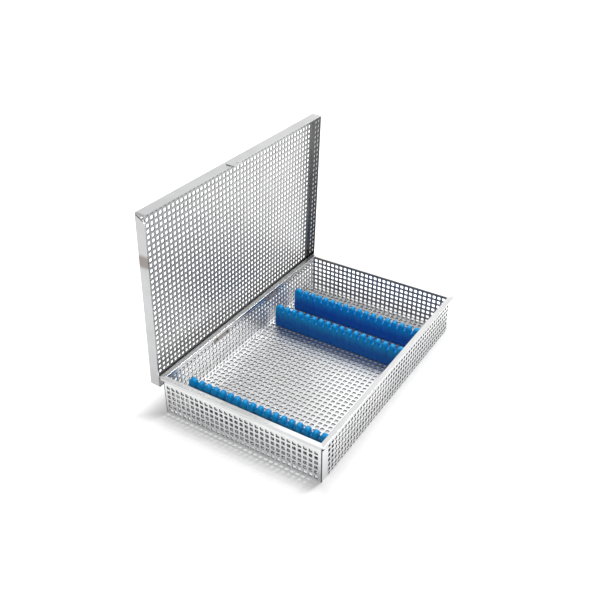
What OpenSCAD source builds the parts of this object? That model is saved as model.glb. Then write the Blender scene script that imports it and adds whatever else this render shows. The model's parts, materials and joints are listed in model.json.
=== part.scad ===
// Instrument basket for a steam steriliser: a perforated sheet tray with a flat-bar rim,
// a perforated lid with plain flanges on two pinned hinges, and three silicone combs.
// Millimetres, +Z up. The origin is on the resting surface, under the middle of the tray.
// X runs along the tray and Y runs from the catch side to the hinge side.
// The lid is drawn closed, and lid_pose() swings it to the open pose that the part rests in.

/* [Tray] */
// Length over the outer faces of the short walls
tray_length = 290; // [220:1:400]
// Width over the outer faces of the long walls
tray_width = 186; // [150:1:260]
// Height from the resting surface to the top of the rim
tray_height = 46; // [40:1:70]
// Thickness of the sheet that the tray and the lid are made of
sheet = 1; // [0.8:0.1:1.4]
// How far a long wall stops short of each outer corner, which leaves the welded seam open
corner_seam = 0.6; // [0.3:0.1:0.7]

/* [Rim] */
// Width of the flat bar
rim_width = 6; // [5:0.5:8]
// Thickness of the flat bar
rim_thickness = 3; // [2:0.5:4]
// How far the bar stands out from the walls
rim_overhang = 3; // [2.5:0.1:3.5]
// Radius of the bar's long edges
rim_edge = 0.6; // [0.3:0.1:0.9]
// Radius of the relief under the rim's front left corner
rim_relief_radius = 1.6; // [1:0.1:2]
// Thickness of rim left above that relief
rim_relief_roof = 0.8; // [0.6:0.1:1.2]

/* [Perforation] */
// Side of a square gap in the floor and the lid panel
panel_gap = 14; // [10:0.5:16]
// Narrowest strip of sheet between two of those gaps
panel_bridge = 7.5; // [6:0.5:9]
// Plain border round the perforated field of the floor and the lid panel
panel_margin = 3; // [2:0.5:6]
// Side of a square gap in the walls
wall_gap = 7; // [5:0.5:8]
// Narrowest strip of sheet between two of those gaps
wall_bridge = 3.5; // [3:0.5:5]
// Plain border round the perforated field of a wall
wall_margin = 2.2; // [1.5:0.1:3]

/* [Lid] */
// Depth of the flanges, over the panel's thickness
lid_depth = 11; // [9:0.5:14]
// Play between the rim and the inside of the flanges, on each side
lid_play = 0.4; // [0.3:0.1:0.8]
// Gap between the closed lid's panel and the top of the rim
lid_seat_gap = 0.2; // [0.1:0.1:0.5]
// Outer radius of the lid's four upright corners
lid_corner = 2; // [1.5:0.1:2.2]
// How far the left flange is cut back at its free front corner
lid_relief = 6; // [2:0.5:8]
// Angle between the closed lid and the lid at its open stop
lid_open_angle = 87.5; // [60:0.5:100]

/* [Catch] */
// Width of the catch plate along the front flange
catch_width = 14; // [8:1:24]
// How far the catch plate reaches below the front flange
catch_reach = 4.5; // [3:0.5:8]
// How far the catch plate lies against the front flange
catch_lap = 7; // [4:0.5:8]
// Distance of the catch plate from the middle of the lid
catch_offset = 16; // [0:1:60]
// Length of the slot in the catch plate
catch_slot = 6; // [4:0.5:7]
// Width of the slot in the catch plate
catch_slot_width = 1.4; // [1:0.1:2]

/* [Hinges] */
// Distance of the hinges from the middle of the back wall
hinge_offset = 49.5; // [30:0.5:90]
// Width of a hinge leaf
leaf_width = 27; // [18:1:40]
// Thickness of a hinge leaf
leaf = 1; // [0.8:0.1:1.1]
// Distance of the hinge axis from the outer face of the back wall
hinge_reach = 2.1; // [2.1:0.1:2.3]
// Distance of the hinge axis below the top of the rim
hinge_drop = 9.6; // [9:0.1:10]
// Outer radius of the knuckles
knuckle_radius = 1.95; // [1.8:0.05:2]
// Radius of a hinge pin
pin_radius = 0.95; // [0.8:0.05:1.1]
// Radial running clearance between a pin and the knuckle of a lid leaf
pin_play = 0.05; // [0.02:0.01:0.1]
// Gap between two knuckles, along the pin
knuckle_play = 0.3; // [0.2:0.05:0.6]
// Gap kept round the knuckles by everything that swings past them
knuckle_clearance = 0.3; // [0.2:0.05:0.6]
// How far a pin stands out of its outer knuckles
pin_stub = 0.4; // [0.2:0.1:1]

/* [Combs] */
// Length of a comb
comb_length = 170; // [120:1:180]
// Thickness of a comb
comb_thickness = 8; // [6:0.5:12]
// Height of a comb above the floor panel
comb_height = 27; // [20:0.5:32]
// Distance from one finger to the next
finger_pitch = 9.2; // [8:0.1:12]
// Height of a finger above the slots
finger_height = 7.5; // [6:0.5:14]
// Width of a slot at its bottom
slot_width = 2.2; // [1.6:0.1:3.4]
// Width of a finger just under its round tip
fingertip_width = 6; // [4:0.1:6.4]
// Radius of the long edges on top of the fingers
comb_edge = 3; // [1:0.1:3.5]
// How far the row of fingers lies towards the hinges, from the middle of the comb
finger_shift = 1.4; // [0:0.1:1.9]
// Clear width between the left wall and the left comb
left_bay = 26; // [10:1:60]
// Clear width between the middle comb and the right comb
narrow_bay = 34; // [15:1:60]
// Clear width between the right comb and the right wall
right_bay = 50; // [15:1:80]

/* [Hidden] */
$fn = 48;

// Cutters reach this far past the faces that they cut
cut = 1;

inner_length = tray_length - 2 * sheet;
inner_width = tray_width - 2 * sheet;
wall_height = tray_height - rim_thickness;
rim_length = tray_length + 2 * rim_overhang;
rim_depth = tray_width + 2 * rim_overhang;

lid_inner_length = rim_length + 2 * lid_play;
lid_inner_width = rim_depth + 2 * lid_play;
lid_length = lid_inner_length + 2 * sheet;
lid_width = lid_inner_width + 2 * sheet;
lid_top = tray_height + lid_seat_gap + sheet;
lid_bottom = lid_top - lid_depth;

hinge_y = tray_width / 2 + hinge_reach;
hinge_z = tray_height - hinge_drop;
leaf_bottom = hinge_z + knuckle_radius + knuckle_clearance;
leaf_top = wall_height - knuckle_clearance;
knuckle_length = (leaf_width - 2 * knuckle_play) / 3;
pin_length = leaf_width + 2 * pin_stub;

finger_count = floor((comb_length - 2 * fingertip_width) / finger_pitch) + 1;
finger_root = comb_height / 4;
comb_left_x = left_bay + comb_thickness / 2 - inner_length / 2;
comb_right_x = inner_length / 2 - right_bay - comb_thickness / 2;
comb_middle_x = comb_right_x - comb_thickness - narrow_bay;

module steel() {
    color([0.78, 0.79, 0.8]) children();
}

module silicone() {
    color([0.04, 0.32, 0.68]) children();
}

// ---- Sheets ----

// How many gaps fit in a span, with at least one bridge between neighbours
function gap_count(span, gap, bridge) = max(1, floor((span + bridge) / (gap + bridge)));

// A square grid of gaps, spread evenly over a field with a plain border
module gap_grid(length, width, gap, bridge, margin) {
    columns = gap_count(length - 2 * margin, gap, bridge);
    rows = gap_count(width - 2 * margin, gap, bridge);
    column_pitch = (length - 2 * margin - gap) / max(1, columns - 1);
    row_pitch = (width - 2 * margin - gap) / max(1, rows - 1);
    for (column = [0 : columns - 1], row = [0 : rows - 1])
        translate([
            (column - (columns - 1) / 2) * column_pitch,
            (row - (rows - 1) / 2) * row_pitch
        ])
            square(gap, center = true);
}

// A flat wall that stands up from the floor, drawn in X and Z around Y = 0
module wall_sheet(length) {
    rotate([90, 0, 0])
        linear_extrude(sheet, center = true)
            translate([0, wall_height / 2])
                difference() {
                    square([length, wall_height], center = true);
                    gap_grid(length, wall_height, wall_gap, wall_bridge, wall_margin);
                }
}

// A rectangle with round corners, made of squares and circles
module rounded_rectangle(length, width, radius) {
    square([length - 2 * radius, width], center = true);
    square([length, width - 2 * radius], center = true);
    for (x = [-1, 1], y = [-1, 1])
        translate([x * (length / 2 - radius), y * (width / 2 - radius)])
            circle(radius);
}

// ---- Tray ----

module floor_panel() {
    steel()
        linear_extrude(sheet)
            difference() {
                square([inner_length, inner_width], center = true);
                gap_grid(inner_length, inner_width, panel_gap, panel_bridge, panel_margin);
            }
}

module long_wall(side) {
    steel()
        translate([0, side * (tray_width - sheet) / 2, 0])
            wall_sheet(tray_length - 2 * corner_seam);
}

module short_wall(side) {
    steel()
        translate([side * (tray_length - sheet) / 2, 0, 0])
            rotate([0, 0, 90])
                wall_sheet(inner_width);
}

module front_wall() { long_wall(-1); }
module back_wall() { long_wall(1); }
module left_wall() { short_wall(-1); }
module right_wall() { short_wall(1); }

// ---- Rim ----

// A straight flat bar along X with round edges; its outer face looks towards -Y
module rim_bar(length, depth) {
    translate([0, -(depth - rim_width) / 2, tray_height - rim_thickness / 2])
        rotate([90, 0, 90])
            linear_extrude(length, center = true)
                rounded_rectangle(rim_width, rim_thickness, rim_edge);
}

// A wedge that holds the side towards -Y of the tray's plan, cut at 45 degrees through both corners
module mitre(length, depth) {
    half = length / 2 + cut;
    reach = depth / 2 + cut;
    linear_extrude(tray_height + cut)
        polygon([[-half, -reach], [half, -reach], [0, half - reach]]);
}

// The pocket that the folded corner leaves open under the front left corner
module rim_relief() {
    translate([
        rim_relief_radius / 2 - rim_length / 2,
        rim_relief_radius / 2 - rim_depth / 2,
        wall_height - cut
    ])
        cylinder(r = rim_relief_radius, h = cut + rim_thickness - rim_relief_roof);
}

module long_rim() {
    intersection() {
        rim_bar(rim_length, rim_depth);
        mitre(rim_length, rim_depth);
    }
}

module short_rim() {
    rotate([0, 0, 90])
        intersection() {
            rim_bar(rim_depth, rim_length);
            mitre(rim_depth, rim_length);
        }
}

module front_rim() {
    steel()
        difference() {
            long_rim();
            rim_relief();
        }
}

module back_rim() {
    steel()
        rotate([0, 0, 180])
            long_rim();
}

module left_rim() {
    steel()
        difference() {
            rotate([0, 0, 180])
                short_rim();
            rim_relief();
        }
}

module right_rim() {
    steel()
        short_rim();
}

// ---- Lid ----

// Swings what is drawn on the closed lid about the hinge axis, to the open stop
module lid_pose() {
    translate([0, hinge_y, hinge_z])
        rotate([-lid_open_angle, 0, 0])
            translate([0, -hinge_y, -hinge_z])
                children();
}

// A quarter of a ring, centred on the origin, in the quadrant towards -X and -Y
module quarter_ring(outer, inner) {
    intersection() {
        difference() {
            circle(outer);
            circle(inner);
        }
        translate([-outer, -outer])
            square(outer);
    }
}

// Plan of a long flange with a round corner at each end; its outer face looks towards -Y
module long_flange_plan() {
    straight = lid_length - 2 * lid_corner;
    translate([-straight / 2, -lid_width / 2])
        square([straight, sheet]);
    for (end = [0, 1])
        mirror([end, 0])
            translate([-straight / 2, lid_corner - lid_width / 2])
                quarter_ring(lid_corner, lid_corner - sheet);
}

module long_flange() {
    translate([0, 0, lid_bottom])
        linear_extrude(lid_depth)
            long_flange_plan();
}

// A short flange between the round corners, with its front end cut back by relief at the free edge
module short_flange(relief) {
    half = lid_width / 2 - lid_corner;
    rotate([90, 0, 90])
        linear_extrude(sheet)
            polygon([
                [-half, lid_top],
                [half, lid_top],
                [half, lid_bottom],
                [relief - half, lid_bottom]
            ]);
}

module lid_panel() {
    steel()
        lid_pose()
            translate([0, 0, lid_top - sheet])
                linear_extrude(sheet)
                    difference() {
                        rounded_rectangle(lid_inner_length, lid_inner_width, lid_corner - sheet);
                        gap_grid(lid_inner_length, lid_inner_width, panel_gap, panel_bridge, panel_margin);
                    }
}

module lid_front_flange() {
    steel()
        lid_pose()
            long_flange();
}

// The back flange is notched where it swings past the knuckles
module lid_back_flange() {
    steel()
        lid_pose()
            difference() {
                rotate([0, 0, 180])
                    long_flange();
                for (x = [-hinge_offset, hinge_offset])
                    translate([
                        x - leaf_width / 2 - knuckle_clearance,
                        lid_inner_width / 2 - cut,
                        lid_bottom - cut
                    ])
                        cube([
                            leaf_width + 2 * knuckle_clearance,
                            sheet + 2 * cut,
                            leaf_bottom - lid_bottom + cut
                        ]);
            }
}

module lid_left_flange() {
    steel()
        lid_pose()
            translate([-lid_length / 2, 0, 0])
                short_flange(lid_relief);
}

module lid_right_flange() {
    steel()
        lid_pose()
            translate([lid_inner_length / 2, 0, 0])
                short_flange(0);
}

// A plate on the outside of the front flange, with a slot just below the flange
module lid_catch() {
    slot_centre = lid_bottom - catch_slot_width / 2;
    corner = catch_slot_width;
    steel()
        lid_pose()
            translate([-catch_offset, -lid_width / 2, 0])
                rotate([90, 0, 0])
                    linear_extrude(sheet)
                        difference() {
                            translate([0, lid_bottom + (catch_lap - catch_reach) / 2])
                                rounded_rectangle(catch_width, catch_lap + catch_reach, corner);
                            translate([0, slot_centre])
                                square([catch_slot, catch_slot_width], center = true);
                        }
}

// ---- Hinges ----

// The three stretches of a hinge along X: which = -1, 0 or 1 gives the middle of each
function knuckle_x(which) = which * (knuckle_length + knuckle_play);

// A leaf with its knuckles, drawn round its own axis at the origin, with the plate's inner face
// at plate_y and standing up from the axis
module hinge_leaf(plate_y, knuckles, bore) {
    rotate([90, 0, 90])
        difference() {
            union() {
                translate([plate_y, leaf_bottom - hinge_z])
                    linear_extrude(leaf_width, center = true)
                        square([leaf, leaf_top - leaf_bottom]);
                for (which = knuckles)
                    translate([0, 0, knuckle_x(which)])
                        linear_extrude(knuckle_length, center = true) {
                            circle(knuckle_radius);
                            translate([plate_y, 0])
                                square([leaf, leaf_bottom - hinge_z + leaf]);
                        }
            }
            cylinder(r = bore, h = leaf_width + 2 * cut, center = true);
        }
}

// A leaf that lies on the outer face of the back wall
module wall_leaf(side) {
    steel()
        translate([side * hinge_offset, hinge_y, hinge_z])
            hinge_leaf(-hinge_reach, [-1, 1], pin_radius);
}

// A leaf that lies on the inner face of the lid's back flange
module lid_leaf(side) {
    steel()
        lid_pose()
            translate([side * hinge_offset, hinge_y, hinge_z])
                hinge_leaf(lid_inner_width / 2 - leaf - hinge_y, [0], pin_radius + pin_play);
}

module hinge_pin(side) {
    steel()
        translate([side * hinge_offset, hinge_y, hinge_z])
            rotate([0, 90, 0])
                cylinder(r = pin_radius, h = pin_length, center = true);
}

module left_wall_leaf() { wall_leaf(-1); }
module right_wall_leaf() { wall_leaf(1); }
module left_lid_leaf() { lid_leaf(-1); }
module right_lid_leaf() { lid_leaf(1); }
module left_hinge_pin() { hinge_pin(-1); }
module right_hinge_pin() { hinge_pin(1); }

// ---- Combs ----

// One finger with a round tip, drawn from below the slots up
module finger_profile() {
    foot = (finger_pitch - slot_width) / 2;
    tip = fingertip_width / 2;
    polygon([
        [-foot, -finger_root],
        [foot, -finger_root],
        [foot, 0],
        [tip, finger_height - tip],
        [-tip, finger_height - tip],
        [-foot, 0]
    ]);
    translate([0, finger_height - tip])
        circle(tip);
}

// The stretch of an end finger that runs on to the end of the comb, with a round upper corner
module end_profile(end) {
    tip = fingertip_width / 2;
    from = finger_shift + end * (finger_count - 1) / 2 * finger_pitch;
    to = end * comb_length / 2;
    corner = to - end * tip;
    translate([min(from, to), -finger_root])
        square([abs(to - from), finger_root + finger_height - tip]);
    translate([min(from, corner), -finger_root])
        square([abs(corner - from), finger_root + finger_height]);
    translate([corner, finger_height - tip])
        circle(tip);
}

// The comb seen from the side: a back with a row of fingers
module comb_profile() {
    back_height = comb_height - finger_height;
    translate([-comb_length / 2, 0])
        square([comb_length, back_height]);
    translate([0, back_height]) {
        for (finger = [0 : finger_count - 1])
            translate([finger_shift + (finger - (finger_count - 1) / 2) * finger_pitch, 0])
                finger_profile();
        for (end = [-1, 1])
            end_profile(end);
    }
}

// The comb seen from its end: upright sides and round top edges
module comb_section() {
    translate([0, comb_height / 2])
        rounded_rectangle(comb_thickness, comb_height, comb_edge);
    translate([-comb_thickness / 2, 0])
        square([comb_thickness, comb_height / 2]);
}

module comb(x) {
    silicone()
        translate([x, 0, sheet])
            intersection() {
                rotate([90, 0, 90])
                    linear_extrude(comb_thickness, center = true)
                        comb_profile();
                rotate([90, 0, 0])
                    linear_extrude(comb_length, center = true)
                        comb_section();
            }
}

module comb_left() { comb(comb_left_x); }
module comb_middle() { comb(comb_middle_x); }
module comb_right() { comb(comb_right_x); }

floor_panel();
front_wall();
back_wall();
left_wall();
right_wall();
front_rim();
back_rim();
left_rim();
right_rim();
lid_panel();
lid_front_flange();
lid_back_flange();
lid_left_flange();
lid_right_flange();
lid_catch();
left_wall_leaf();
right_wall_leaf();
left_lid_leaf();
right_lid_leaf();
left_hinge_pin();
right_hinge_pin();
comb_left();
comb_middle();
comb_right();
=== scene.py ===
"""The finished look of the steriliser basket: perforated sheets, moulded combs, steel and light.

The frame gives the solids. The perforated sheets and the combs are modelled here in full detail
and stand for their solids; rims, flanges, catch and hinges keep their solids and get their finish.
Lengths are in millimetres in the classes that model a piece, and in metres in finishes, bands,
lamps and the ground.
"""

import json
import logging
import math
from collections.abc import Callable, Sequence
from dataclasses import dataclass
from enum import Enum
from typing import Any

import bpy
import numpy as np
from mathutils import Matrix, Vector

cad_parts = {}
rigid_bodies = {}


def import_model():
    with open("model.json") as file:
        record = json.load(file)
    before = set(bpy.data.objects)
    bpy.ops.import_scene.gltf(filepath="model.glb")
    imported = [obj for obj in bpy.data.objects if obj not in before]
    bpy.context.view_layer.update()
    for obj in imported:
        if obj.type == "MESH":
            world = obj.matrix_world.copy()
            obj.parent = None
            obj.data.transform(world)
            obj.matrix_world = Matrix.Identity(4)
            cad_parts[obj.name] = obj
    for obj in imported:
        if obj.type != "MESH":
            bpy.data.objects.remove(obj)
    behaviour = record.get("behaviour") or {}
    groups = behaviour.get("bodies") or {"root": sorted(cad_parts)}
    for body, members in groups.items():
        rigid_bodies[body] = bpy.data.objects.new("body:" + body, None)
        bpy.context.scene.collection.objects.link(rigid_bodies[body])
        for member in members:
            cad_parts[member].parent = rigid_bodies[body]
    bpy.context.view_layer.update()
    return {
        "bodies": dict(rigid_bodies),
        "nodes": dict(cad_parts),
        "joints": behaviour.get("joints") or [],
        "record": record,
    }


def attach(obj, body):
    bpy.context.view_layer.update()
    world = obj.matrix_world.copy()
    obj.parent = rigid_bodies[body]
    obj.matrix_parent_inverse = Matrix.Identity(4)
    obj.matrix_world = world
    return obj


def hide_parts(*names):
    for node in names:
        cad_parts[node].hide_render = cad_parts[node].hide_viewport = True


LOG = logging.getLogger("basket")
MM = 0.001
# Distance within which the vertices of neighbouring cells grow together, in millimetres
MERGE_REACH = 0.01
# How far inside the last cells' edge the vertices are caught that a border moves, in millimetres
EDGE_SLACK = 0.01
# Distance within which a cut takes a vertex as lying on it, in metres
CUT_REACH = 0.00001
# Size of the picture and of the camera's sensor that the focal length refers to
PICTURE_PIXELS = 600
SENSOR_MM = 36.0

Colour = tuple[float, float, float]


# ---- Modelling by hand, in code ----


class Bench:
    """The tools that every piece is made with: Blender's own operators on what is selected."""

    @staticmethod
    def clear_selection() -> None:
        """Deselects every object, so that an operator touches only what is picked next."""
        for thing in bpy.context.view_layer.objects.selected:
            thing.select_set(False)

    @staticmethod
    def pick(piece: bpy.types.Object) -> None:
        """Makes one object the active and only selected one."""
        Bench.clear_selection()
        piece.select_set(True)
        bpy.context.view_layer.objects.active = piece

    @staticmethod
    def started(name: str) -> bpy.types.Object:
        """Names the primitive that was just added and returns it."""
        piece = bpy.context.view_layer.objects.active
        piece.name = name
        piece.data.name = name
        return piece

    @staticmethod
    def places(piece: bpy.types.Object) -> np.ndarray:
        """Reads the N x 3 places of a mesh's vertices, in metres."""
        flat = np.empty(len(piece.data.vertices) * 3, np.float32)
        piece.data.vertices.foreach_get("co", flat)
        return flat.reshape(-1, 3)

    @staticmethod
    def everything(places: np.ndarray) -> np.ndarray:
        """Passes every vertex: the test that selects a whole mesh."""
        return np.ones(len(places), bool)

    @staticmethod
    def unmark(mesh: bpy.types.Mesh) -> None:
        """Takes the selection off every vertex, edge and face."""
        for part in (mesh.vertices, mesh.edges, mesh.polygons):
            part.foreach_set("select", np.zeros(len(part), bool))

    @staticmethod
    def select(piece: bpy.types.Object, test: Callable[[np.ndarray], np.ndarray]) -> None:
        """Selects the vertices of a mesh that pass a test, and opens it in edit mode.

        Args:
            piece: The mesh object.
            test: Takes the N x 3 places of the vertices, in metres, and returns N booleans.
        """
        Bench.pick(piece)
        mesh = piece.data
        Bench.unmark(mesh)
        mesh.vertices.foreach_set("select", test(Bench.places(piece)))
        mesh.update()
        bpy.ops.object.mode_set(mode="EDIT")
        bpy.ops.mesh.select_mode(type="VERT")

    @staticmethod
    def move(
        piece: bpy.types.Object, test: Callable[[np.ndarray], np.ndarray], by: Sequence[float]
    ) -> None:
        """Moves the vertices that pass a test, by millimetres."""
        Bench.select(piece, test)
        bpy.ops.transform.translate(value=tuple(part * MM for part in by))
        bpy.ops.object.mode_set(mode="OBJECT")

    @staticmethod
    def modify(piece: bpy.types.Object, kind: str, **settings: Any) -> None:
        """Adds a modifier with these settings and applies it at once."""
        Bench.pick(piece)
        modifier = piece.modifiers.new(kind.title(), kind)
        for name, value in settings.items():
            setattr(modifier, name, value)
        bpy.ops.object.modifier_apply(modifier=modifier.name)

    @staticmethod
    def repeat(piece: bpy.types.Object, count: int, step: Sequence[float]) -> None:
        """Repeats a mesh a number of times, a step in millimetres apart, and joins what touches."""
        Bench.modify(
            piece,
            "ARRAY",
            count=count,
            use_relative_offset=False,
            use_constant_offset=True,
            constant_offset_displace=tuple(part * MM for part in step),
            use_merge_vertices=True,
            merge_threshold=MERGE_REACH * MM,
        )

    @staticmethod
    def settle(piece: bpy.types.Object, placing: Matrix) -> None:
        """Puts a piece in its place and writes that place into its mesh."""
        Bench.pick(piece)
        piece.matrix_world = placing
        bpy.ops.object.transform_apply(location=True, rotation=True, scale=True)

    @staticmethod
    def face_outwards(piece: bpy.types.Object) -> None:
        """Recalculates the normals of a closed mesh."""
        Bench.select(piece, Bench.everything)
        bpy.ops.mesh.normals_make_consistent(inside=False)
        bpy.ops.object.mode_set(mode="OBJECT")

    @staticmethod
    def twin(piece: bpy.types.Object, name: str) -> bpy.types.Object:
        """Copies a piece together with its mesh, under another name."""
        Bench.pick(piece)
        bpy.ops.object.duplicate(linked=False)
        return Bench.started(name)

    @staticmethod
    def join(pieces: Sequence[bpy.types.Object]) -> bpy.types.Object:
        """Joins several mesh objects into the first and returns it."""
        Bench.pick(pieces[0])
        for piece in pieces:
            piece.select_set(True)
        bpy.ops.object.join()
        return pieces[0]


# ---- Shader maths ----


class Signal:
    """One value in a material's node tree, with the operators that the finishes use."""

    def __init__(self, graph: "Graph", socket: bpy.types.NodeSocket) -> None:
        """Wraps an output socket of a node in a graph."""
        self.graph = graph
        self.socket = socket

    def maths(self, operation: str, first: Any, second: Any) -> "Signal":
        """Adds one Math node that works on two values or signals."""
        return self.graph.maths(operation, first, second)

    def __add__(self, other: Any) -> "Signal":
        """Adds a value."""
        return self.maths("ADD", self, other)

    def __radd__(self, other: Any) -> "Signal":
        """Adds to a value."""
        return self.maths("ADD", other, self)

    def __sub__(self, other: Any) -> "Signal":
        """Takes a value away."""
        return self.maths("SUBTRACT", self, other)

    def __rsub__(self, other: Any) -> "Signal":
        """Is taken away from a value."""
        return self.maths("SUBTRACT", other, self)

    def __mul__(self, other: Any) -> "Signal":
        """Multiplies by a value."""
        return self.maths("MULTIPLY", self, other)

    def __rmul__(self, other: Any) -> "Signal":
        """Multiplies a value."""
        return self.maths("MULTIPLY", other, self)


class Graph:
    """The node tree of one material or world, filled through a single method."""

    def __init__(self, tree: bpy.types.NodeTree) -> None:
        """Empties the tree and keeps it."""
        self.tree = tree
        tree.nodes.clear()

    def node(
        self, kind: str, settings: dict[str, Any], sockets: dict[Any, Any], out: Any = 0
    ) -> Signal:
        """Makes a node.

        Args:
            kind: The node's type.
            settings: Its own properties, set first.
            sockets: What goes into its inputs, by name or number: values or signals.
            out: The output that is returned, by name or number.

        Returns:
            The chosen output as a signal, or the first input of a node that has no output.
        """
        made = self.tree.nodes.new(kind)
        for name, value in settings.items():
            setattr(made, name, value)
        for name, value in sockets.items():
            if isinstance(value, Signal):
                self.tree.links.new(value.socket, made.inputs[name])
            else:
                made.inputs[name].default_value = value
        outputs = made.outputs
        return Signal(self, outputs[out]) if len(outputs) else Signal(self, made.inputs[0])

    def place(self, scale: Sequence[float]) -> Signal:
        """Gives the place on the piece, with each axis stretched, for a pattern in real sizes."""
        here = self.node("ShaderNodeTexCoord", {}, {}, "Object")
        return self.node("ShaderNodeMapping", {}, {"Vector": here, "Scale": tuple(scale)})

    def maths(self, operation: str, *values: Any) -> Signal:
        """Adds one Math node."""
        return self.node("ShaderNodeMath", {"operation": operation}, dict(enumerate(values)))

    def along(self, axis: str) -> Signal:
        """Gives the place on the piece along one axis, in metres."""
        here = self.node("ShaderNodeTexCoord", {}, {}, "Object")
        return self.node("ShaderNodeSeparateXYZ", {}, {0: here}, axis)

    def ray(self, kind: str) -> Signal:
        """Tells whether the ray that arrives is of this kind: 1 when it is and 0 when it isn't."""
        return self.node("ShaderNodeLightPath", {}, {}, f"Is {kind} Ray")

    def bump(self, strength: float, relief: float, height: Signal) -> Signal:
        """Turns a pattern into a normal that is this many metres deep."""
        return self.node(
            "ShaderNodeBump", {}, {"Strength": strength, "Distance": relief, "Height": height}
        )

    def noise(self, scale: Sequence[float], detail: float = 3.0) -> Signal:
        """Gives soft noise from 0 to 1 with this many lumps to the metre along each axis."""
        return self.node(
            "ShaderNodeTexNoise",
            {},
            {"Vector": self.place(scale), "Scale": 1.0, "Detail": detail, "Roughness": 0.55},
            "Fac",
        )

    def blend(self, share: Any, first: Any, second: Any) -> Signal:
        """Mixes two colours by a share from 0 to 1."""
        pair = {}
        for number, colour in ((6, first), (7, second)):
            pair[number] = colour if isinstance(colour, Signal) else (*colour, 1)
        return self.node("ShaderNodeMix", {"data_type": "RGBA"}, {0: share, **pair}, 2)

    def steps(self, share: Signal, low: float, high: float) -> Signal:
        """Maps a value between low and high smoothly onto 0 to 1."""
        return self.node(
            "ShaderNodeMapRange",
            {"interpolation_type": "SMOOTHSTEP"},
            {"Value": share, "From Min": low, "From Max": high, "To Min": 0.0, "To Max": 1.0},
        )

    def close(self, shader: Signal) -> None:
        """Feeds the finished shader to the material's output."""
        self.node("ShaderNodeOutputMaterial", {}, {"Surface": shader})


def new_material(name: str) -> tuple[bpy.types.Material, Graph]:
    """Makes an empty node material and the graph that fills it."""
    material = bpy.data.materials.new(name)
    material.use_nodes = True
    return material, Graph(material.node_tree)


class Grain(Enum):
    """The way in which a steel face was brushed; the value stretches the pattern on each axis."""

    ALONG_X = (9.0, 900.0, 900.0)
    ALONG_Y = (900.0, 9.0, 900.0)
    EVEN = (420.0, 420.0, 420.0)


@dataclass(frozen=True)
class PaintedDarkBand:
    """Painted shade across a face: a soft darker stripe standing for shadow and dark reflection.

    Attributes:
        low: Height where it begins, in metres.
        high: Height where it ends.
        tint: Colour painted on the metal inside it.
        depth: Place along Y, in metres, behind which it isn't drawn.
    """

    low: float
    high: float
    tint: Colour
    depth: float = 1.0


@dataclass(frozen=True)
class SteelFinish:
    """Stainless steel with cloudy polish and a fine grain.

    Attributes:
        name: The material's name.
        tint: Colour of the bare metal.
        roughness: Roughness of the well-polished places.
        wander: How much rougher the dull places are.
        grain: Direction of the brushing.
        relief: Depth of the brushing, in metres.
        painted_dark_band: Painted shade across the piece, a soft darker stripe standing for shadow
            and dark reflection, where there is one.
        side: Colour painted on its upright faces, lighter or darker than the top as light and shade
            fall on them, where they differ.
    """

    name: str
    tint: Colour
    roughness: float
    wander: float
    grain: Grain = Grain.EVEN
    relief: float = 0.00003
    painted_dark_band: PaintedDarkBand | None = None
    side: Colour | None = None

    def make(self) -> bpy.types.Material:
        """Builds the material."""
        material, graph = new_material(self.name)
        clouds = graph.noise((38, 38, 38))
        fine = graph.noise(self.grain.value, 2.0)
        dull = tuple(part * 0.93 for part in self.tint)
        colour = graph.blend(graph.steps(clouds, 0.35, 0.7), self.tint, dull)
        # Paints shade: a soft darker stripe standing for shadow and dark reflection.
        if self.painted_dark_band:
            middle = (self.painted_dark_band.low + self.painted_dark_band.high) / 2
            reach = (self.painted_dark_band.high - self.painted_dark_band.low) / 2
            away = graph.maths("ABSOLUTE", graph.along("Z") - middle + 0.4 * reach * (clouds - 0.5))
            behind = graph.maths("GREATER_THAN", graph.along("Y"), self.painted_dark_band.depth)
            clear = graph.maths("MAXIMUM", graph.steps(away, 0.4 * reach, reach), behind)
            colour = graph.blend(clear, self.painted_dark_band.tint, colour)
        # Paints light and shade by facing: upright faces take the side colour, flat faces the tint.
        if self.side:
            normal = graph.node("ShaderNodeNewGeometry", {}, {}, "Normal")
            upwards = graph.node("ShaderNodeSeparateXYZ", {}, {0: normal}, "Z")
            level = graph.maths("ABSOLUTE", upwards)
            colour = graph.blend(graph.steps(level, 0.4, 0.8), self.side, colour)
        shader = graph.node(
            "ShaderNodeBsdfPrincipled",
            {},
            {
                "Base Color": colour,
                "Metallic": 1.0,
                "Roughness": self.roughness + self.wander * (clouds * 0.6 + fine * 0.4),
                "Normal": graph.bump(0.35, self.relief, fine),
            },
        )
        graph.close(shader)
        return material


@dataclass(frozen=True)
class SiliconeFinish:
    """Translucent moulded silicone, painted paler towards the fingertips for the light that comes
    through the thin fingers.

    Attributes:
        name: The material's name.
        deep: Colour of the thick back.
        pale: Colour of the thin fingertips.
        low: Height below which the colour is all deep, in metres.
        high: Height above which it is all pale, in metres.
    """

    name: str
    deep: Colour
    pale: Colour
    low: float
    high: float

    def make(self) -> bpy.types.Material:
        """Builds the material."""
        material, graph = new_material(self.name)
        clouds = graph.noise((90, 90, 60))
        share = graph.steps(graph.along("Z") + 0.006 * (clouds - 0.5), self.low, self.high)
        bloom = graph.noise((1500, 1500, 1500), 2.0)
        shader = graph.node(
            "ShaderNodeBsdfPrincipled",
            {},
            {
                "Base Color": graph.blend(share, self.deep, self.pale),
                "Roughness": 0.34 + 0.12 * clouds,
                "IOR": 1.43,
                "Specular IOR Level": 0.3,
                "Subsurface Weight": 0.12,
                "Subsurface Radius": (0.3, 0.6, 1.0),
                "Subsurface Scale": 0.004,
                "Normal": graph.bump(0.25, 0.00005, bloom),
            },
        )
        graph.close(shader)
        return material


# The sheets, rims and flanges are one stainless steel; the finishes below set its tint piece by
# piece as painted light and shade, darker where a face shows dark surroundings or lies in shade,
# lighter where it catches the light.
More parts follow.
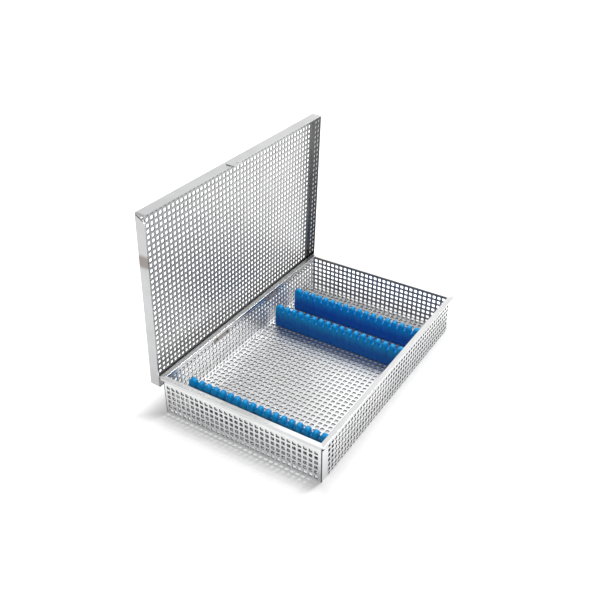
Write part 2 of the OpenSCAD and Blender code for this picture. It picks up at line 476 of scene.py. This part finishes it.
SHADED_LID_FACE = SteelFinish(
    # Tint darkened as painted shade on the lid.
    "lid_face_painted_shade", (0.4, 0.402, 0.404), 0.42, 0.12,
    # A painted dark stripe low on the lid's inner face: the reflection of the shaded gap behind the
    # back rim.
    painted_dark_band=PaintedDarkBand(0.0335, 0.0405, (0.02, 0.02, 0.022), 0.1054),
)
# Punched edges painted near-black, as shade inside the holes.
LID_HOLE_SHADE = SteelFinish("lid_hole_painted_shade", (0.06, 0.06, 0.061), 0.4, 0.1)
TRAY_FACE = SteelFinish(
    # Tint set light, as painted light on the bright walls and floor.
    "tray_sheet_face", (0.74, 0.742, 0.745), 0.3, 0.14,
    # A painted shadow: a soft dark stripe on the walls just under the rim.
    painted_dark_band=PaintedDarkBand(0.0394, 0.0442, (0.1, 0.1, 0.102)),
)
# Punched edges painted near-black, as shade inside the holes.
TRAY_HOLE_SHADE = SteelFinish("tray_hole_painted_shade", (0.1, 0.1, 0.102), 0.4, 0.1)
# Back wall tinted lighter as painted light, right wall darker as painted shade.
LIT_FAR_FACE = SteelFinish("far_wall_face_painted_light", (0.8, 0.802, 0.805), 0.4, 0.12)
SHADED_RIGHT_FACE = SteelFinish("right_wall_face_painted_shade", (0.34, 0.342, 0.345), 0.4, 0.12)
# Punched edges painted near-black, as shade inside the holes.
FAR_HOLE_SHADE = SteelFinish("far_wall_hole_painted_shade", (0.04, 0.04, 0.041), 0.4, 0.1)
# Rims: one steel, tinted rim by rim as painted light and shade; the side colour paints their
# upright faces lighter or darker than their tops as the light falls.
RIM_STEEL_X = SteelFinish(
    "rim_steel_long", (0.5, 0.502, 0.504), 0.2, 0.12, Grain.ALONG_X, 0.00002,
    side=(0.55, 0.55, 0.55),
)
RIM_STEEL_Y = SteelFinish(
    "rim_steel_short", (0.74, 0.743, 0.746), 0.2, 0.16, Grain.ALONG_Y, 0.00002,
    side=(0.55, 0.55, 0.55),
)
RIM_STEEL_FAR = SteelFinish(
    "rim_steel_right", (0.72, 0.7, 0.68), 0.45, 0.1, Grain.ALONG_Y, 0.00002,
    side=(0.3, 0.27, 0.24),
)
# Flanges: tinted darker than bare steel, flange by flange, as painted shade.
FLANGE_STEEL_X = SteelFinish(
    "flange_steel_long", (0.42, 0.422, 0.424), 0.3, 0.16, Grain.ALONG_X, 0.00002
)
LEFT_FLANGE_STEEL = SteelFinish(
    "left_flange_steel", (0.44, 0.442, 0.444), 0.22, 0.1, Grain.ALONG_Y, 0.00001,
    # A painted reflection: a brownish dark stripe across the left flange.
    PaintedDarkBand(0.171, 0.189, (0.23, 0.21, 0.2)),
)
RIGHT_FLANGE_STEEL = SteelFinish(
    "right_flange_steel", (0.36, 0.36, 0.36), 0.02, 0.03, Grain.ALONG_Y, 0.0
)
HINGE_STEEL = SteelFinish("satin_hinge_steel", (0.56, 0.55, 0.54), 0.3, 0.16, Grain.ALONG_X)
# A warm tint painted on the backing plates, against the blue that the nearby comb throws on them.
PLATE_STEEL = SteelFinish("backing_plate_steel", (0.5, 0.46, 0.42), 0.62, 0.12, Grain.ALONG_X)
RIVET_STEEL = SteelFinish("rivet_steel", (0.12, 0.12, 0.12), 0.35, 0.1)
SEAM_STEEL = SteelFinish("seam_steel", (0.09, 0.1, 0.115), 0.45, 0.1)
# Near-black: painted shade in the hollow of the rim's corner relief.
RELIEF_SHADE = SteelFinish("relief_painted_shade", (0.008, 0.02, 0.05), 0.45, 0.1)
TIP_BLUE = (0.0, 0.34, 0.76)
BLUE_SILICONE = SiliconeFinish("blue_silicone", (0.004, 0.13, 0.52), TIP_BLUE, 0.009, 0.026)
# The left comb's copy: painted almost black below the fingertips, as the shade that the left wall
# casts on it.
SHADED_SILICONE = SiliconeFinish("shaded_silicone", (0.002, 0.015, 0.06), TIP_BLUE, 0.017, 0.025)

# The solids that keep their shape, by the finish that each takes
SOLID_FINISHES = (
    (RIM_STEEL_X, ("front_rim", "back_rim")),
    (RIM_STEEL_Y, ("left_rim",)),
    (RIM_STEEL_FAR, ("right_rim",)),
    (FLANGE_STEEL_X, ("lid_front_flange", "lid_back_flange", "lid_catch")),
    (LEFT_FLANGE_STEEL, ("lid_left_flange",)),
    (RIGHT_FLANGE_STEEL, ("lid_right_flange",)),
    (HINGE_STEEL, ("left_wall_leaf", "right_wall_leaf", "left_lid_leaf", "right_lid_leaf")),
    (HINGE_STEEL, ("left_hinge_pin", "right_hinge_pin")),
)


# ---- Sheets ----


@dataclass(frozen=True)
class Row:
    """A row of punched holes along one direction of a sheet.

    Attributes:
        first: Place of the first hole's centre, in millimetres.
        count: How many holes there are.
        low: Where the sheet begins.
        high: Where the sheet ends.
    """

    first: float
    count: int
    low: float
    high: float

    def cell_low(self, pitch: float) -> float:
        """Gives where the first hole's own square of sheet begins."""
        return self.first - pitch / 2

    def cell_high(self, pitch: float) -> float:
        """Gives where the last hole's own square of sheet ends."""
        return self.first + (self.count - 0.5) * pitch


@dataclass
class PerforatedSheet:
    """A flat sheet punched with square holes, drawn on X and Y and then stood in its place.

    Attributes:
        name: The piece's name.
        node: The solid that it stands for.
        body: The body that it rides on.
        columns: The holes along the sheet's first direction.
        rows: The holes along its second direction.
        placing: Takes the drawn sheet, its middle plane at zero, to its place.
        face: Finish of the two faces.
        edge: Finish of the punched edges, painted near-black as shade inside the holes.
        hole: Side of a hole.
        pitch: Distance from one hole to the next.
        corner: Radius in a hole's corners.
        thickness: Thickness of the sheet.
    """

    name: str
    node: str
    body: str
    columns: Row
    rows: Row
    placing: Matrix
    face: SteelFinish = TRAY_FACE
    edge: SteelFinish = TRAY_HOLE_SHADE
    hole: float = 4.0
    pitch: float = 6.0
    corner: float = 0.8
    thickness: float = 1.0

    def build(self, finisher: "Finisher") -> bpy.types.Object:
        """Punches one cell, repeats it both ways and gives the sheet its borders and thickness.

        Args:
            finisher: Gives the two materials.

        Returns:
            The finished sheet, in its place.
        """
        piece = self.cell()
        Bench.repeat(piece, self.columns.count, (self.pitch, 0, 0))
        Bench.repeat(piece, self.rows.count, (0, self.pitch, 0))
        for axis, row in ((0, self.columns), (1, self.rows)):
            self.border(piece, axis, row)
        for finish in (self.face, self.edge):
            piece.data.materials.append(finisher.material(finish))
        Bench.modify(
            piece, "SOLIDIFY", thickness=self.thickness * MM, offset=0.0, material_offset_rim=1
        )
        Bench.settle(piece, self.placing)
        return piece

    def cell(self) -> bpy.types.Object:
        """Makes the square of sheet round the first hole."""
        Bench.clear_selection()
        bpy.ops.mesh.primitive_plane_add(
            size=self.pitch * MM, location=(self.columns.first * MM, self.rows.first * MM, 0)
        )
        piece = Bench.started(self.name)
        bpy.ops.object.transform_apply(location=True, rotation=False, scale=False)
        Bench.select(piece, Bench.everything)
        bpy.ops.mesh.inset(thickness=(self.pitch - self.hole) / 2 * MM, depth=0)
        bpy.ops.mesh.bevel(offset=self.corner * MM, affect="VERTICES", segments=2)
        bpy.ops.object.mode_set(mode="OBJECT")
        self.drop_middle(piece)
        return piece

    def drop_middle(self, piece: bpy.types.Object) -> None:
        """Deletes the face that fills the first hole."""
        centre = Vector((self.columns.first * MM, self.rows.first * MM, 0))
        Bench.pick(piece)
        Bench.unmark(piece.data)
        nearest = min(piece.data.polygons, key=lambda face: (face.center - centre).length)
        nearest.select = True
        bpy.ops.object.mode_set(mode="EDIT")
        bpy.ops.mesh.select_mode(type="FACE")
        bpy.ops.mesh.delete(type="FACE")
        bpy.ops.object.mode_set(mode="OBJECT")

    def border(self, piece: bpy.types.Object, axis: int, row: Row) -> None:
        """Draws the outermost cells out to the sheet's edge, or cuts them off there."""
        step = [0.0, 0.0, 0.0]
        for edge, reach, way in (
            (row.low, row.cell_low(self.pitch), -1),
            (row.high, row.cell_high(self.pitch), 1),
        ):
            if (reach - edge) * way > 0:
                self.cut_off(piece, axis, edge, way)
                continue
            step[axis] = edge - reach
            limit = (reach - EDGE_SLACK * way) * MM
            Bench.move(piece, lambda places: (places[:, axis] - limit) * way > 0, step)

    @staticmethod
    def cut_off(piece: bpy.types.Object, axis: int, edge: float, way: int) -> None:
        """Cuts the sheet along an edge that runs through its last holes."""
        Bench.select(piece, Bench.everything)
        point, normal = [0.0, 0.0, 0.0], [0.0, 0.0, 0.0]
        point[axis], normal[axis] = edge * MM, float(way)
        bpy.ops.mesh.bisect(plane_co=point, plane_no=normal, clear_outer=True, threshold=CUT_REACH)
        bpy.ops.object.mode_set(mode="OBJECT")


def upright(x: float = 0.0, y: float = 0.0, along_y: bool = False) -> Matrix:
    """Gives the placing of a wall drawn on X and Y: it stands on its long edge.

    Args:
        x: Where the wall's middle plane is, for a wall along Y.
        y: Where the wall's middle plane is, for a wall along X.
        along_y: Whether the wall runs along Y.
    """
    stand = Matrix.Rotation(math.radians(90), 4, "X")
    turn = Matrix.Rotation(math.radians(90), 4, "Z") if along_y else Matrix.Identity(4)
    return Matrix.Translation(Vector((x, y, 0)) * MM) @ turn @ stand


# ---- Combs ----

# Where each comb's middle lies along the tray, and the finish of each, in the same order; the left
# comb's finish carries painted shade
COMB_PLACES = {"comb_left": -114.0, "comb_middle": 48.0, "comb_right": 90.0}
COMB_FINISHES = (SHADED_SILICONE, BLUE_SILICONE, BLUE_SILICONE)
# Angles up a fingertip's quarter circle at which its outline is drawn, in degrees
TIP_ANGLES = (18, 36, 54, 72, 84)


@dataclass
class Comb:
    """A moulded silicone comb: a back with upright ribs that rise as round-topped fingers.

    Attributes:
        x: Place of the comb's middle along the tray.
        length: Length along Y.
        thickness: Thickness along X.
        base: Height of the surface that it stands on.
        height: Height of the fingertips above the base.
        finger_height: Height of the fingers above the slots.
        pitch: Distance from one finger to the next.
        fingers: Number of fingers.
        shift: How far the row of fingers lies towards the hinges.
        foot: Width of a finger's rib at the slots.
        tip: Width of a finger under its round tip.
        plinth: Height of the plain band under the ribs.
        web: Thickness of the back between the ribs.
        root: How deep the ribs begin inside the plinth.
        rib_round: Radius of a rib's upright corners.
        bar_round: Radius of the back's and the plinth's edges.
        voxel: Size of the grid that melts the ribs into the back.
    """

    x: float
    length: float = 170.0
    thickness: float = 8.0
    base: float = 1.0
    height: float = 27.0
    finger_height: float = 7.5
    pitch: float = 9.2
    fingers: int = 18
    shift: float = 1.4
    foot: float = 7.0
    tip: float = 6.0
    plinth: float = 9.0
    web: float = 6.6
    root: float = 2.0
    rib_round: float = 1.7
    bar_round: float = 1.2
    voxel: float = 0.55

    def build(self, name: str) -> bpy.types.Object:
        """Models the comb and returns it, in its place.

        Args:
            name: The piece's name.

        Returns:
            The finished comb.
        """
        reach = (self.fingers - 1) / 2 * self.pitch
        first, last = self.shift - reach, self.shift + reach
        second = first + self.pitch
        ribs = self.rib("rib", second - self.foot / 2, second + self.foot / 2)
        Bench.repeat(ribs, self.fingers - 2, (0, self.pitch, 0))
        comb = Bench.join([
            self.bar("back", self.web, self.height - self.finger_height),
            self.bar("plinth", self.thickness, self.plinth),
            ribs,
            self.rib("front_end", -self.length / 2, first + self.foot / 2),
            self.rib("hinge_end", last - self.foot / 2, self.length / 2),
        ])
        comb.name = comb.data.name = name
        Bench.modify(comb, "REMESH", mode="VOXEL", voxel_size=self.voxel * MM)
        Bench.modify(comb, "SMOOTH", factor=0.5, iterations=4)
        self.fit(comb)
        Bench.pick(comb)
        bpy.ops.object.shade_smooth()
        return comb

    @classmethod
    def row(cls) -> list[bpy.types.Object]:
        """Models one comb and copies it to the two other places."""
        (name, home), *others = COMB_PLACES.items()
        combs = [cls(home).build(f"silicone_{name}")]
        for name, x in others:
            combs.append(Bench.twin(combs[0], f"silicone_{name}"))
            Bench.settle(combs[-1], Matrix.Translation(((x - home) * MM, 0, 0)))
        return combs

    def rib(self, name: str, low: float, high: float) -> bpy.types.Object:
        """Makes a rib with its finger: a round-cornered post that narrows and ends in a round tip.

        Args:
            name: The name of the unfinished rib.
            low: Where the rib begins along Y.
            high: Where it ends.

        Returns:
            The rib, ready to be melted into the back.
        """
        middle, half, radius = (low + high) / 2, (high - low) / 2, self.tip / 2
        bottom = self.base + self.plinth - self.root
        Bench.clear_selection()
        bpy.ops.mesh.primitive_plane_add(size=2 * MM, location=(0, middle * MM, bottom * MM))
        rib = Bench.started(name)
        rib.scale = (self.thickness / 2, half, 1)
        bpy.ops.object.transform_apply(location=True, rotation=False, scale=True)
        Bench.select(rib, Bench.everything)
        bpy.ops.mesh.bevel(offset=self.rib_round * MM, affect="VERTICES", segments=4)
        slots = self.base + self.height - self.finger_height
        self.rise(slots - bottom, 1.0, 1.0, middle)
        narrow = half - (self.foot - self.tip) / 2
        self.rise(self.finger_height - radius, narrow / half, 1.0, middle)
        across, along, level = self.thickness / 2, narrow, 0.0
        for angle in TIP_ANGLES:
            lost = radius * (1 - math.cos(math.radians(angle)))
            lift = radius * math.sin(math.radians(angle))
            thinner, narrower = self.thickness / 2 - lost, narrow - lost
            self.rise(lift - level, narrower / along, thinner / across, middle)
            across, along, level = thinner, narrower, lift
        bpy.ops.object.mode_set(mode="OBJECT")
        Bench.face_outwards(rib)
        return rib

    def rise(self, by: float, shrink_y: float, shrink_x: float, centre: float) -> None:
        """Extrudes the selected top of a rib upwards and narrows it about a centre along Y."""
        bpy.ops.mesh.extrude_region_move(TRANSFORM_OT_translate={"value": (0, 0, by * MM)})
        bpy.ops.transform.resize(value=(shrink_x, shrink_y, 1), center_override=(0, centre * MM, 0))

    def bar(self, name: str, thickness: float, height: float) -> bpy.types.Object:
        """Makes a straight bar on the base with softened upright and top edges."""
        Bench.clear_selection()
        bpy.ops.mesh.primitive_cube_add(size=1, location=(0, 0, (self.base + height / 2) * MM))
        bar = Bench.started(name)
        bar.scale = (thickness * MM, self.length * MM, height * MM)
        bpy.ops.object.transform_apply(location=True, rotation=False, scale=True)
        Bench.select(bar, lambda places: places[:, 2] > (self.base + 1) * MM)
        bpy.ops.mesh.bevel(offset=self.bar_round * MM, segments=3, affect="EDGES")
        bpy.ops.object.mode_set(mode="OBJECT")
        return bar

    def fit(self, comb: bpy.types.Object) -> None:
        """Scales the melted comb back to its full size and stands it in its place."""
        places = Bench.places(comb)
        low, high = places.min(0), places.max(0)
        full = np.array((self.thickness, self.length, self.height)) * MM
        scale = full / (high - low)
        target = np.array((self.x - self.thickness / 2, -self.length / 2, self.base)) * MM
        shift = target - low * scale
        Bench.settle(comb, Matrix.Translation(Vector(shift)) @ Matrix.Diagonal((*scale, 1)))


# ---- The basket ----


@dataclass
class Tray:
    """The perforated tray with its flat-bar rim.

    Attributes:
        length: Length over the outer faces of the short walls.
        width: Width over the outer faces of the long walls.
        wall: Height of the walls.
        sheet: Thickness of the sheet.
        seam: How far a long wall stops short of each outer corner.
    """

    length: float = 290.0
    width: float = 186.0
    wall: float = 43.0
    sheet: float = 1.0
    seam: float = 0.6

    def sheets(self) -> list[PerforatedSheet]:
        """Lists the floor and the four walls with their own rows of holes."""
        long_end = self.length / 2 - self.seam
        short_end = self.width / 2 - self.sheet
        side = (self.length - self.sheet) / 2
        front = (self.width - self.sheet) / 2
        inner = self.length / 2 - self.sheet
        return [
            PerforatedSheet(
                "perforated_floor", "floor_panel", "tray",
                Row(-138, 47, -inner, inner), Row(-87, 30, -short_end, short_end),
                Matrix.Translation((0, 0, self.sheet / 2 * MM)),
            ),
            PerforatedSheet(
                "perforated_front_wall", "front_wall", "tray",
                Row(-131.9, 46, -long_end, long_end), Row(0.6, 7, 0, self.wall), upright(y=-front),
            ),
            PerforatedSheet(
                "perforated_back_wall", "back_wall", "tray",
                Row(-139.3, 47, -long_end, long_end), Row(1.2, 7, 0, self.wall), upright(y=front),
                LIT_FAR_FACE, FAR_HOLE_SHADE,
            ),
            PerforatedSheet(
                "perforated_left_wall", "left_wall", "tray",
                Row(-86.8, 30, -short_end, short_end), Row(4.0, 6, 0, self.wall),
                upright(x=-side, along_y=True),
            ),
            PerforatedSheet(
                "perforated_right_wall", "right_wall", "tray",
                Row(-85.2, 30, -short_end, short_end), Row(3.3, 7, 0, self.wall),
                upright(x=side, along_y=True), SHADED_RIGHT_FACE, FAR_HOLE_SHADE,
            ),
        ]


@dataclass
class Lid:
    """The perforated lid, modelled closed and swung to its open stop.

    Attributes:
        length: Length between the flanges.
        width: Width between the flanges.
        top: Height of the closed lid's outer face.
        sheet: Thickness of the sheet.
        hinge_y: Place of the hinge axis behind the tray's middle.
        hinge_z: Height of the hinge axis.
        open_angle: Angle between the closed and the open lid, in degrees.
    """

    length: float = 296.8
    width: float = 192.8
    top: float = 47.2
    sheet: float = 1.0
    hinge_y: float = 95.1
    hinge_z: float = 36.4
    open_angle: float = 87.5

    def swing(self) -> Matrix:
        """Gives the turn about the hinge axis from closed to open."""
        axis = Matrix.Translation(Vector((0, self.hinge_y, self.hinge_z)) * MM)
        return axis @ Matrix.Rotation(math.radians(-self.open_angle), 4, "X") @ axis.inverted()

    def sheets(self) -> list[PerforatedSheet]:
        """Lists the lid's one perforated panel."""
        level = Matrix.Translation((0, 0, (self.top - self.sheet / 2) * MM))
        half_length, half_width = self.length / 2, self.width / 2
        return [
            PerforatedSheet(
                "perforated_lid_panel", "lid_panel", "lid",
                Row(-141, 48, -half_length, half_length), Row(-90, 31, -half_width, half_width),
                self.swing() @ level, SHADED_LID_FACE, LID_HOLE_SHADE,
            )
        ]


@dataclass(frozen=True)
class Fittings:
    """The small parts that stand for no solid: seams, the plates behind the hinges, a strip, and a
    near-black post of painted shade in the rim's corner relief.

    Attributes:
        seam_x: Place of a corner seam along the tray.
        seam_y: Place of a corner seam across it.
        seam_radius: Radius of a seam.
        wall: Height of the walls.
        relief: Place of the relief under the rim's front left corner: x, y, low and high.
        relief_radius: Radius of the near-black post that fills it as painted shade.
        plate: Length, thickness and height of a backing plate.
        plate_z: Height of a plate's middle.
        plate_y: Inner face of the back wall.
        hinge_x: Place of a hinge's middle along the tray.
        rivet: Radius of a rivet head.
        dome: Height of a rivet head, as a share of its radius.
        soft_edge: Width of the softened edges of plates and strips.
        seam_lift: How far a seam stays off the ground.
        strip: Middle and size of the strip behind the left wall's top row of holes.
    """

    seam_x: float = 144.58
    seam_y: float = 92.5
    seam_radius: float = 0.46
    wall: float = 43.0
    relief: tuple[float, float, float, float] = (-146.7, -94.7, 43.0, 45.1)
    relief_radius: float = 1.15
    plate: tuple[float, float, float] = (27.0, 0.8, 6.0)
    plate_z: float = 39.6
    plate_y: float = 92.0
    hinge_x: float = 49.5
    rivet: float = 1.5
    dome: float = 0.45
    soft_edge: float = 0.2
    seam_lift: float = 0.05
    strip: tuple[tuple[float, float, float], tuple[float, float, float]] = (
        (-143.7, 0.0, 34.2), (0.6, 182.0, 6.4),
    )

    @staticmethod
    def post(
        name: str, radius: float, x: float, y: float, low: float, high: float
    ) -> bpy.types.Object:
        """Makes an upright round post between two heights."""
        Bench.clear_selection()
        bpy.ops.mesh.primitive_cylinder_add(
            vertices=16, radius=radius * MM, depth=(high - low) * MM,
            location=(x * MM, y * MM, (low + high) / 2 * MM),
        )
        post = Bench.started(name)
        bpy.ops.object.transform_apply(location=True, rotation=False, scale=False)
        return post

    def seams(self) -> bpy.types.Object:
        """Makes the four corner seams, as one piece."""
        return Bench.join([
            self.post(
                "corner_seams", self.seam_radius, x * self.seam_x, y * self.seam_y,
                self.seam_lift, self.wall,
            )
            for x in (-1, 1)
            for y in (-1, 1)
        ])

    def box(self, name: str, middle: Sequence[float], size: Sequence[float]) -> bpy.types.Object:
        """Makes a plain bar with softened edges, from its middle and its size."""
        Bench.clear_selection()
        bpy.ops.mesh.primitive_cube_add(size=1, location=tuple(part * MM for part in middle))
        bar = Bench.started(name)
        bar.scale = tuple(part * MM for part in size)
        bpy.ops.object.transform_apply(location=True, rotation=False, scale=True)
        Bench.modify(bar, "BEVEL", width=self.soft_edge * MM, segments=2)
        return bar

    def rivets(self, name: str, middle: float) -> bpy.types.Object:
        """Makes the two low round rivet heads of one plate."""
        face = self.plate_y - self.plate[1]
        heads = []
        for side in (-1, 1):
            Bench.clear_selection()
            bpy.ops.mesh.primitive_uv_sphere_add(
                segments=20, ring_count=10, radius=self.rivet * MM,
                location=((middle + side * self.plate[0] / 3) * MM, face * MM, self.plate_z * MM),
            )
            head = Bench.started(name)
            head.scale = (1, self.dome, 1)
            bpy.ops.object.transform_apply(location=True, rotation=False, scale=True)
            bpy.ops.object.shade_smooth()
            heads.append(head)
        return Bench.join(heads)

    def build(self, finisher: "Finisher") -> None:
        """Makes every small part and finishes it."""
        thickness = self.plate[1]
        made = [
            (self.seams(), SEAM_STEEL, "perforated_steel"),
            # A near-black post in the rim's corner relief: painted shade in the hollow.
            (
                self.post("relief_shade_plug", self.relief_radius, *self.relief),
                RELIEF_SHADE, "polished_steel",
            ),
            (self.box("left_wall_strip", *self.strip), TRAY_FACE, "polished_steel"),
        ]
        for side, middle in (("left", -self.hinge_x), ("right", self.hinge_x)):
            place = (middle, self.plate_y - thickness / 2, self.plate_z)
            plate = self.box(f"{side}_backing_plate", place, self.plate)
            made.append((plate, PLATE_STEEL, "hinge_steel"))
            made.append((self.rivets(f"{side}_plate_rivets", middle), RIVET_STEEL, "hinge_steel"))
        for piece, finish, slot in made:
            finisher.paint(piece, finish)
            finisher.tie(piece, slot, "tray")


class Finisher:
    """Dresses pieces and solids in their finishes and ties them to the frame."""

    def __init__(self, frame: dict[str, Any]) -> None:
        """Keeps the frame and makes each finish once.
        """
        self.nodes = frame["nodes"]
        self.materials: dict[str, bpy.types.Material] = {}

    def material(self, finish: SteelFinish | SiliconeFinish) -> bpy.types.Material:
        """Gives the material of a finish, made on its first use."""
        if finish.name not in self.materials:
            self.materials[finish.name] = finish.make()
        return self.materials[finish.name]

    def paint(self, piece: bpy.types.Object, finish: SteelFinish | SiliconeFinish) -> None:
        """Gives a whole piece one finish."""
        piece.data.materials.clear()
        piece.data.materials.append(self.material(finish))

    @staticmethod
    def tie(piece: bpy.types.Object, slot: str, body: str, *stands_for: str) -> None:
        """Ties a new piece to the body that it rides on and hides the solids that it stands for;
        slot is not used.
        """
        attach(piece, body)
        if stands_for:
            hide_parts(*stands_for)
        LOG.info("%s: %d faces on %s", piece.name, len(piece.data.polygons), body)

    def dress_solids(self, finish: SteelFinish, names: Sequence[str]) -> None:
        """Gives solids that keep their shape a finer finish."""
        for name in names:
            for slot in self.nodes[name].material_slots:
                slot.material = self.material(finish)
            LOG.info("%s: finished as %s", name, finish.name)


# ---- The studio ----


@dataclass(frozen=True)
class Lamp:
    """A soft square lamp that looks at a point.

    Attributes:
        name: The lamp's name.
        place: Where it hangs, in metres.
        aim: The point that it looks at, in metres.
        size: Side of the square, in metres.
        power: Power in watts.
    """

    name: str
    place: tuple[float, float, float]
    aim: tuple[float, float, float]
    size: float
    power: float

    def hang(self) -> None:
        """Adds the lamp to the scene."""
        light = bpy.data.lights.new(self.name, "AREA")
        light.shape, light.size, light.energy = "SQUARE", self.size, self.power
        lamp = bpy.data.objects.new(self.name, light)
        bpy.context.scene.collection.objects.link(lamp)
        towards = Vector(self.aim) - Vector(self.place)
        lamp.location = self.place
        lamp.rotation_mode = "QUATERNION"
        lamp.rotation_quaternion = towards.to_track_quat("-Z", "Y")


@dataclass(frozen=True)
class Studio:
    """The pale floor, the white surroundings, the lamps and the camera.

    Attributes:
        azimuth: Direction of the camera round the basket, in degrees.
        elevation: Height of the camera above the horizon, in degrees.
        roll: Turn of the camera about its own axis, in degrees.
        distance: Distance of the camera, in millimetres.
        across: How far the basket's origin lies to the right of the camera's axis, in millimetres.
        above: How far it lies above that axis, in millimetres.
        focal: Focal length in pixels of a picture that is 600 pixels wide.
        surround: Strength of the surroundings as a source of light.
        footprint: Half the length and half the width of the ground in the basket's own shade,
            in metres.
        shade_edge: Where the ground's paint changes, from inside to outside that footprint.
        glow: How far past the footprint the ground reaches its full glow, in metres.
        ground: Side of the ground, in metres.
    """

    azimuth: float = -57.612
    elevation: float = 32.952
    roll: float = -0.243
    distance: float = 856.11
    across: float = 18.777
    above: float = -75.192
    focal: float = 769.57
    surround: float = 0.48
    footprint: tuple[float, float] = (0.143, 0.091)
    shade_edge: tuple[float, float] = (-0.008, 0.006)
    glow: float = 0.045
    ground: float = 8.0

    def camera(self) -> None:
        """Adds the camera."""
        azimuth, elevation, roll = (
            math.radians(angle) for angle in (self.azimuth, self.elevation, self.roll)
        )
        flat = math.cos(elevation)
        back = Vector((math.sin(azimuth) * flat, -math.cos(azimuth) * flat, math.sin(elevation)))
        level = (-back).cross(Vector((0, 0, 1))).normalized()
        rise = level.cross(-back)
        right = math.cos(roll) * level + math.sin(roll) * rise
        upward = -math.sin(roll) * level + math.cos(roll) * rise
        turn = Matrix((right, upward, back)).transposed().to_4x4()
        place = (back * self.distance - right * self.across - upward * self.above) * MM
        data = bpy.data.cameras.new("camera")
        data.sensor_width = SENSOR_MM
        data.lens = self.focal * data.sensor_width / PICTURE_PIXELS
        data.clip_start, data.clip_end = 0.01, 50
        camera = bpy.data.objects.new("camera", data)
        camera.matrix_world = Matrix.Translation(place) @ turn
        bpy.context.scene.collection.objects.link(camera)
        bpy.context.scene.camera = camera

    def surroundings(self) -> None:
        """Makes the world: white behind the basket and in its polish, softer as a light."""
        world = bpy.data.worlds.new("studio")
        world.use_nodes = True
        bpy.context.scene.world = world
        graph = Graph(world.node_tree)
        shown = graph.ray("Camera") + graph.ray("Glossy") + graph.ray("Transmission")
        direct = graph.maths("MINIMUM", shown, 1.0)
        strength = direct + self.surround * (1 - direct)
        white = {"Color": (1, 1, 1, 1), "Strength": strength}
        light = graph.node("ShaderNodeBackground", {}, white)
        graph.node("ShaderNodeOutputWorld", {}, {"Surface": light})

    def floor(self) -> None:
        """Lays the pale floor, which keeps the basket's shadow and glows only where it is seen."""
        Bench.clear_selection()
        bpy.ops.mesh.primitive_plane_add(size=self.ground, location=(0, 0, 0))
        floor = Bench.started("studio_floor")
        material, graph = new_material("studio_floor_paint")
        across, along = (graph.maths("ABSOLUTE", graph.along(axis)) for axis in "XY")
        beyond = graph.maths("MAXIMUM", across - self.footprint[0], along - self.footprint[1])
        seen = graph.ray("Camera") + graph.ray("Glossy")
        shader = graph.node(
            "ShaderNodeBsdfPrincipled",
            {},
            {
                # Painted shade: the ground is a little darker inside the basket's footprint.
                "Base Color": graph.blend(
                    graph.steps(beyond, *self.shade_edge), (0.9, 0.9, 0.9), (0.92, 0.92, 0.92)
                ),
                "Roughness": 0.6,
                "Specular IOR Level": 0.2,
                "Emission Color": graph.blend(
                    seen * graph.steps(beyond, 0.0, self.glow), (0.0, 0.0, 0.0), (0.85, 0.85, 0.85)
                ),
                "Emission Strength": 1.0,
            },
        )
        graph.close(shader)
        floor.data.materials.append(material)

    def lamps(self) -> None:
        """Hangs the soft lamps."""
        aim = (0.0, 0.0, 0.08)
        for lamp in (
            Lamp("key_lamp", (0.9, -0.3, 1.3), aim, 0.35, 15.0),
            Lamp("back_lamp", (1.42, 0.9, 1.09), aim, 1.6, 5.0),
        ):
            lamp.hang()

    def build(self) -> None:
        """Sets the whole studio up, and the plain view transform."""
        self.camera()
        self.surroundings()
        self.floor()
        self.lamps()
        bpy.context.scene.view_settings.view_transform = "Standard"


def main() -> None:
    """Builds the studio, sheets, combs and fittings, and finishes every solid that stays."""
    logging.basicConfig(level=logging.INFO, format="%(name)s: %(message)s")
    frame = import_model()
    Studio().build()
    finisher = Finisher(frame)
    for sheet in Tray().sheets() + Lid().sheets():
        finisher.tie(sheet.build(finisher), "perforated_steel", sheet.body, sheet.node)
    for comb, finish in zip(Comb.row(), COMB_FINISHES):
        finisher.paint(comb, finish)
        finisher.tie(comb, "blue_silicone", "tray", comb.name.removeprefix("silicone_"))
    Fittings().build(finisher)
    for steel, names in SOLID_FINISHES:
        finisher.dress_solids(steel, names)


if __name__ == "__main__":
    main()
